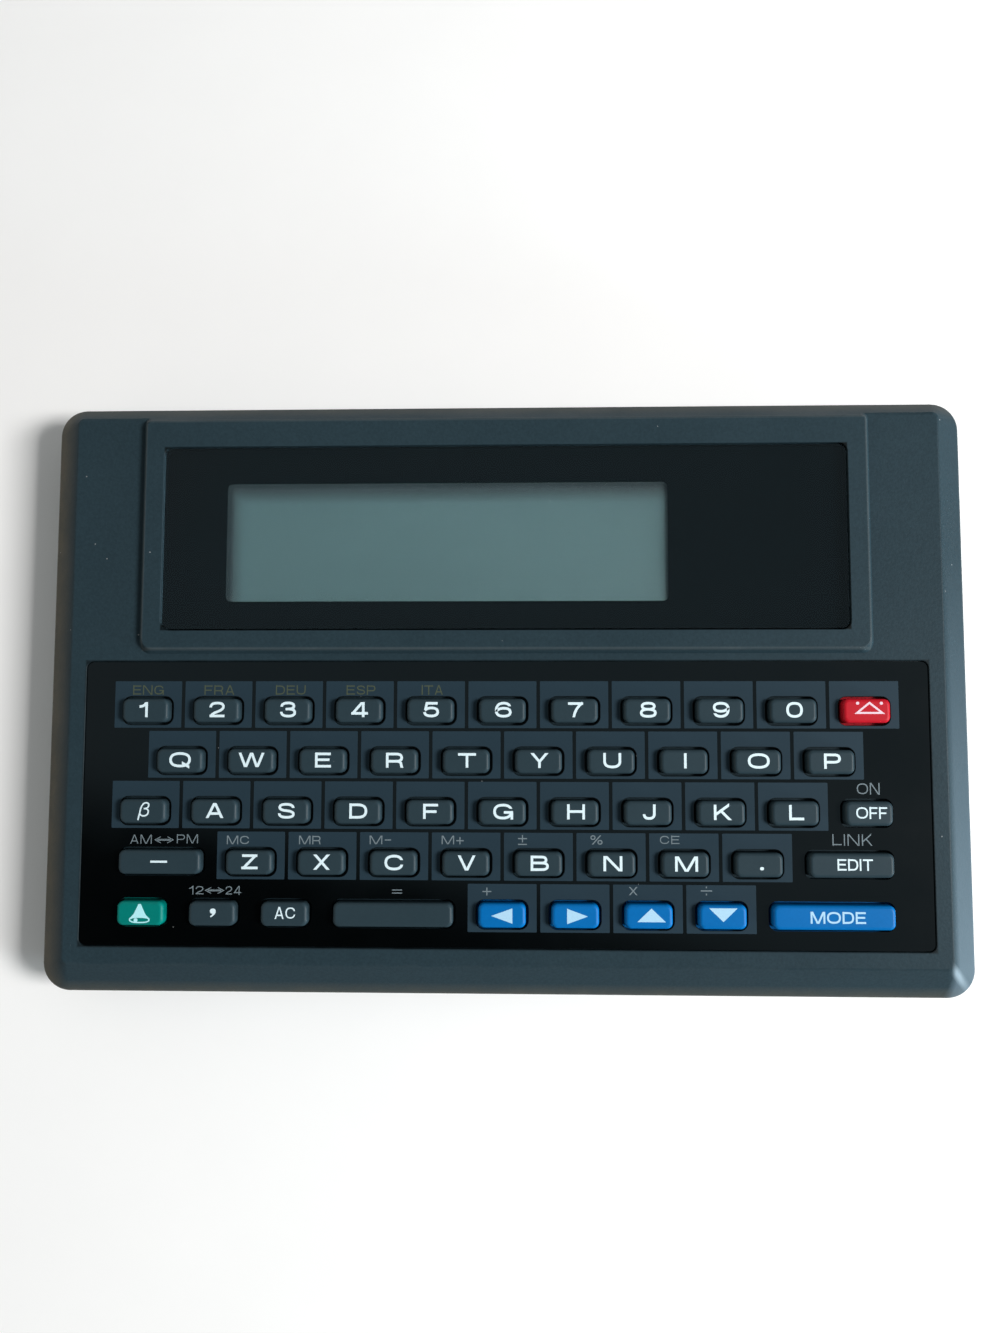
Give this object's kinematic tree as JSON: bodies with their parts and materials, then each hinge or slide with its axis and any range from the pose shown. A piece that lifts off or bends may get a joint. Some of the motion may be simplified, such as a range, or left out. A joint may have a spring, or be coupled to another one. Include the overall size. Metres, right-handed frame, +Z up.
{
  "type": "handheld translator",
  "caption": "Flat pocket translator: a wide display window on a raised platform above a full push-key keyboard, in a bevelled two-part case with a sliding battery cover.",
  "frame": {"origin": "centre of the object's box in plan, on the plane its feet stand on", "axes": "+X to the right along the keyboard, +Y from the space bar to the display, +Z up out of the keys"},
  "size_m": [0.132, 0.0848, 0.0125],
  "materials": {
    "case_upper": "fine moulded grain",
    "case_lower": "fine moulded grain",
    "fascia": "satin black",
    "window": "polished clear plastic",
    "lcd_glass": "polished",
    "silicone": "matt moulded",
    "board": "solder mask",
    "cell_steel": "rolled",
    "key_dark": "fine matt",
    "key_blue": "fine matt",
    "key_red": "fine matt",
    "key_green": "fine matt"
  },
  "bodies": {
    "case": {"top_case": "case_upper", "bottom_case": "case_lower", "key_fascia": "fascia", "display_window": "window", "lcd_panel": "lcd_glass", "key_mat": "silicone", "circuit_board": "board", "battery_cells": "cell_steel"},
    "cover": {"battery_cover": "case_lower"},
    "key_q": {"key_q": "key_dark"},
    "key_w": {"key_w": "key_dark"},
    "key_e": {"key_e": "key_dark"},
    "key_r": {"key_r": "key_dark"},
    "key_t": {"key_t": "key_dark"},
    "key_y": {"key_y": "key_dark"},
    "key_u": {"key_u": "key_dark"},
    "key_i": {"key_i": "key_dark"},
    "key_o": {"key_o": "key_dark"},
    "key_p": {"key_p": "key_dark"},
    "key_a": {"key_a": "key_dark"},
    "key_s": {"key_s": "key_dark"},
    "key_d": {"key_d": "key_dark"},
    "key_f": {"key_f": "key_dark"},
    "key_g": {"key_g": "key_dark"},
    "key_h": {"key_h": "key_dark"},
    "key_j": {"key_j": "key_dark"},
    "key_k": {"key_k": "key_dark"},
    "key_l": {"key_l": "key_dark"},
    "key_z": {"key_z": "key_dark"},
    "key_x": {"key_x": "key_dark"},
    "key_c": {"key_c": "key_dark"},
    "key_v": {"key_v": "key_dark"},
    "key_b": {"key_b": "key_dark"},
    "key_n": {"key_n": "key_dark"},
    "key_m": {"key_m": "key_dark"},
    "key_0": {"key_0": "key_dark"},
    "key_1": {"key_1": "key_dark"},
    "key_2": {"key_2": "key_dark"},
    "key_3": {"key_3": "key_dark"},
    "key_4": {"key_4": "key_dark"},
    "key_5": {"key_5": "key_dark"},
    "key_6": {"key_6": "key_dark"},
    "key_7": {"key_7": "key_dark"},
    "key_8": {"key_8": "key_dark"},
    "key_9": {"key_9": "key_dark"},
    "key_eszett": {"key_eszett": "key_dark"},
    "key_power": {"key_power": "key_dark"},
    "key_point": {"key_point": "key_dark"},
    "key_minus": {"key_minus": "key_dark"},
    "key_edit": {"key_edit": "key_dark"},
    "key_comma": {"key_comma": "key_dark"},
    "key_all_clear": {"key_all_clear": "key_dark"},
    "key_space": {"key_space": "key_dark"},
    "key_left": {"key_left": "key_blue"},
    "key_right": {"key_right": "key_blue"},
    "key_up": {"key_up": "key_blue"},
    "key_down": {"key_down": "key_blue"},
    "key_mode": {"key_mode": "key_blue"},
    "key_translate": {"key_translate": "key_red"},
    "key_alarm": {"key_alarm": "key_green"}
  },
  "joints": [
    {"name": "cover_slide", "type": "slide", "parent": "case", "child": "cover", "axis": [0, 1, 0], "range_m": [0, 0.032]},
    {"name": "key_q_press", "type": "slide", "parent": "case", "child": "key_q", "axis": [0, 0, -1], "range_m": [0, 0.0008], "stiffness_N_per_m": 750, "deforming": ["key_mat"]},
    {"name": "key_w_press", "type": "slide", "parent": "case", "child": "key_w", "axis": [0, 0, -1], "range_m": [0, 0.0008], "stiffness_N_per_m": 750, "deforming": ["key_mat"]},
    {"name": "key_e_press", "type": "slide", "parent": "case", "child": "key_e", "axis": [0, 0, -1], "range_m": [0, 0.0008], "stiffness_N_per_m": 750, "deforming": ["key_mat"]},
    {"name": "key_r_press", "type": "slide", "parent": "case", "child": "key_r", "axis": [0, 0, -1], "range_m": [0, 0.0008], "stiffness_N_per_m": 750, "deforming": ["key_mat"]},
    {"name": "key_t_press", "type": "slide", "parent": "case", "child": "key_t", "axis": [0, 0, -1], "range_m": [0, 0.0008], "stiffness_N_per_m": 750, "deforming": ["key_mat"]},
    {"name": "key_y_press", "type": "slide", "parent": "case", "child": "key_y", "axis": [0, 0, -1], "range_m": [0, 0.0008], "stiffness_N_per_m": 750, "deforming": ["key_mat"]},
    {"name": "key_u_press", "type": "slide", "parent": "case", "child": "key_u", "axis": [0, 0, -1], "range_m": [0, 0.0008], "stiffness_N_per_m": 750, "deforming": ["key_mat"]},
    {"name": "key_i_press", "type": "slide", "parent": "case", "child": "key_i", "axis": [0, 0, -1], "range_m": [0, 0.0008], "stiffness_N_per_m": 750, "deforming": ["key_mat"]},
    {"name": "key_o_press", "type": "slide", "parent": "case", "child": "key_o", "axis": [0, 0, -1], "range_m": [0, 0.0008], "stiffness_N_per_m": 750, "deforming": ["key_mat"]},
    {"name": "key_p_press", "type": "slide", "parent": "case", "child": "key_p", "axis": [0, 0, -1], "range_m": [0, 0.0008], "stiffness_N_per_m": 750, "deforming": ["key_mat"]},
    {"name": "key_a_press", "type": "slide", "parent": "case", "child": "key_a", "axis": [0, 0, -1], "range_m": [0, 0.0008], "stiffness_N_per_m": 750, "deforming": ["key_mat"]},
    {"name": "key_s_press", "type": "slide", "parent": "case", "child": "key_s", "axis": [0, 0, -1], "range_m": [0, 0.0008], "stiffness_N_per_m": 750, "deforming": ["key_mat"]},
    {"name": "key_d_press", "type": "slide", "parent": "case", "child": "key_d", "axis": [0, 0, -1], "range_m": [0, 0.0008], "stiffness_N_per_m": 750, "deforming": ["key_mat"]},
    {"name": "key_f_press", "type": "slide", "parent": "case", "child": "key_f", "axis": [0, 0, -1], "range_m": [0, 0.0008], "stiffness_N_per_m": 750, "deforming": ["key_mat"]},
    {"name": "key_g_press", "type": "slide", "parent": "case", "child": "key_g", "axis": [0, 0, -1], "range_m": [0, 0.0008], "stiffness_N_per_m": 750, "deforming": ["key_mat"]},
    {"name": "key_h_press", "type": "slide", "parent": "case", "child": "key_h", "axis": [0, 0, -1], "range_m": [0, 0.0008], "stiffness_N_per_m": 750, "deforming": ["key_mat"]},
    {"name": "key_j_press", "type": "slide", "parent": "case", "child": "key_j", "axis": [0, 0, -1], "range_m": [0, 0.0008], "stiffness_N_per_m": 750, "deforming": ["key_mat"]},
    {"name": "key_k_press", "type": "slide", "parent": "case", "child": "key_k", "axis": [0, 0, -1], "range_m": [0, 0.0008], "stiffness_N_per_m": 750, "deforming": ["key_mat"]},
    {"name": "key_l_press", "type": "slide", "parent": "case", "child": "key_l", "axis": [0, 0, -1], "range_m": [0, 0.0008], "stiffness_N_per_m": 750, "deforming": ["key_mat"]},
    {"name": "key_z_press", "type": "slide", "parent": "case", "child": "key_z", "axis": [0, 0, -1], "range_m": [0, 0.0008], "stiffness_N_per_m": 750, "deforming": ["key_mat"]},
    {"name": "key_x_press", "type": "slide", "parent": "case", "child": "key_x", "axis": [0, 0, -1], "range_m": [0, 0.0008], "stiffness_N_per_m": 750, "deforming": ["key_mat"]},
    {"name": "key_c_press", "type": "slide", "parent": "case", "child": "key_c", "axis": [0, 0, -1], "range_m": [0, 0.0008], "stiffness_N_per_m": 750, "deforming": ["key_mat"]},
    {"name": "key_v_press", "type": "slide", "parent": "case", "child": "key_v", "axis": [0, 0, -1], "range_m": [0, 0.0008], "stiffness_N_per_m": 750, "deforming": ["key_mat"]},
    {"name": "key_b_press", "type": "slide", "parent": "case", "child": "key_b", "axis": [0, 0, -1], "range_m": [0, 0.0008], "stiffness_N_per_m": 750, "deforming": ["key_mat"]},
    {"name": "key_n_press", "type": "slide", "parent": "case", "child": "key_n", "axis": [0, 0, -1], "range_m": [0, 0.0008], "stiffness_N_per_m": 750, "deforming": ["key_mat"]},
    {"name": "key_m_press", "type": "slide", "parent": "case", "child": "key_m", "axis": [0, 0, -1], "range_m": [0, 0.0008], "stiffness_N_per_m": 750, "deforming": ["key_mat"]},
    {"name": "key_0_press", "type": "slide", "parent": "case", "child": "key_0", "axis": [0, 0, -1], "range_m": [0, 0.0008], "stiffness_N_per_m": 750, "deforming": ["key_mat"]},
    {"name": "key_1_press", "type": "slide", "parent": "case", "child": "key_1", "axis": [0, 0, -1], "range_m": [0, 0.0008], "stiffness_N_per_m": 750, "deforming": ["key_mat"]},
    {"name": "key_2_press", "type": "slide", "parent": "case", "child": "key_2", "axis": [0, 0, -1], "range_m": [0, 0.0008], "stiffness_N_per_m": 750, "deforming": ["key_mat"]},
    {"name": "key_3_press", "type": "slide", "parent": "case", "child": "key_3", "axis": [0, 0, -1], "range_m": [0, 0.0008], "stiffness_N_per_m": 750, "deforming": ["key_mat"]},
    {"name": "key_4_press", "type": "slide", "parent": "case", "child": "key_4", "axis": [0, 0, -1], "range_m": [0, 0.0008], "stiffness_N_per_m": 750, "deforming": ["key_mat"]},
    {"name": "key_5_press", "type": "slide", "parent": "case", "child": "key_5", "axis": [0, 0, -1], "range_m": [0, 0.0008], "stiffness_N_per_m": 750, "deforming": ["key_mat"]},
    {"name": "key_6_press", "type": "slide", "parent": "case", "child": "key_6", "axis": [0, 0, -1], "range_m": [0, 0.0008], "stiffness_N_per_m": 750, "deforming": ["key_mat"]},
    {"name": "key_7_press", "type": "slide", "parent": "case", "child": "key_7", "axis": [0, 0, -1], "range_m": [0, 0.0008], "stiffness_N_per_m": 750, "deforming": ["key_mat"]},
    {"name": "key_8_press", "type": "slide", "parent": "case", "child": "key_8", "axis": [0, 0, -1], "range_m": [0, 0.0008], "stiffness_N_per_m": 750, "deforming": ["key_mat"]},
    {"name": "key_9_press", "type": "slide", "parent": "case", "child": "key_9", "axis": [0, 0, -1], "range_m": [0, 0.0008], "stiffness_N_per_m": 750, "deforming": ["key_mat"]},
    {"name": "key_eszett_press", "type": "slide", "parent": "case", "child": "key_eszett", "axis": [0, 0, -1], "range_m": [0, 0.0008], "stiffness_N_per_m": 750, "deforming": ["key_mat"]},
    {"name": "key_power_press", "type": "slide", "parent": "case", "child": "key_power", "axis": [0, 0, -1], "range_m": [0, 0.0008], "stiffness_N_per_m": 750, "deforming": ["key_mat"]},
    {"name": "key_point_press", "type": "slide", "parent": "case", "child": "key_point", "axis": [0, 0, -1], "range_m": [0, 0.0008], "stiffness_N_per_m": 750, "deforming": ["key_mat"]},
    {"name": "key_minus_press", "type": "slide", "parent": "case", "child": "key_minus", "axis": [0, 0, -1], "range_m": [0, 0.0008], "stiffness_N_per_m": 750, "deforming": ["key_mat"]},
    {"name": "key_edit_press", "type": "slide", "parent": "case", "child": "key_edit", "axis": [0, 0, -1], "range_m": [0, 0.0008], "stiffness_N_per_m": 750, "deforming": ["key_mat"]},
    {"name": "key_comma_press", "type": "slide", "parent": "case", "child": "key_comma", "axis": [0, 0, -1], "range_m": [0, 0.0008], "stiffness_N_per_m": 750, "deforming": ["key_mat"]},
    {"name": "key_all_clear_press", "type": "slide", "parent": "case", "child": "key_all_clear", "axis": [0, 0, -1], "range_m": [0, 0.0008], "stiffness_N_per_m": 750, "deforming": ["key_mat"]},
    {"name": "key_space_press", "type": "slide", "parent": "case", "child": "key_space", "axis": [0, 0, -1], "range_m": [0, 0.0008], "stiffness_N_per_m": 1000, "deforming": ["key_mat"]},
    {"name": "key_left_press", "type": "slide", "parent": "case", "child": "key_left", "axis": [0, 0, -1], "range_m": [0, 0.0008], "stiffness_N_per_m": 750, "deforming": ["key_mat"]},
    {"name": "key_right_press", "type": "slide", "parent": "case", "child": "key_right", "axis": [0, 0, -1], "range_m": [0, 0.0008], "stiffness_N_per_m": 750, "deforming": ["key_mat"]},
    {"name": "key_up_press", "type": "slide", "parent": "case", "child": "key_up", "axis": [0, 0, -1], "range_m": [0, 0.0008], "stiffness_N_per_m": 750, "deforming": ["key_mat"]},
    {"name": "key_down_press", "type": "slide", "parent": "case", "child": "key_down", "axis": [0, 0, -1], "range_m": [0, 0.0008], "stiffness_N_per_m": 750, "deforming": ["key_mat"]},
    {"name": "key_mode_press", "type": "slide", "parent": "case", "child": "key_mode", "axis": [0, 0, -1], "range_m": [0, 0.0008], "stiffness_N_per_m": 1000, "deforming": ["key_mat"]},
    {"name": "key_translate_press", "type": "slide", "parent": "case", "child": "key_translate", "axis": [0, 0, -1], "range_m": [0, 0.0008], "stiffness_N_per_m": 750, "deforming": ["key_mat"]},
    {"name": "key_alarm_press", "type": "slide", "parent": "case", "child": "key_alarm", "axis": [0, 0, -1], "range_m": [0, 0.0008], "stiffness_N_per_m": 750, "deforming": ["key_mat"]}
  ]
}
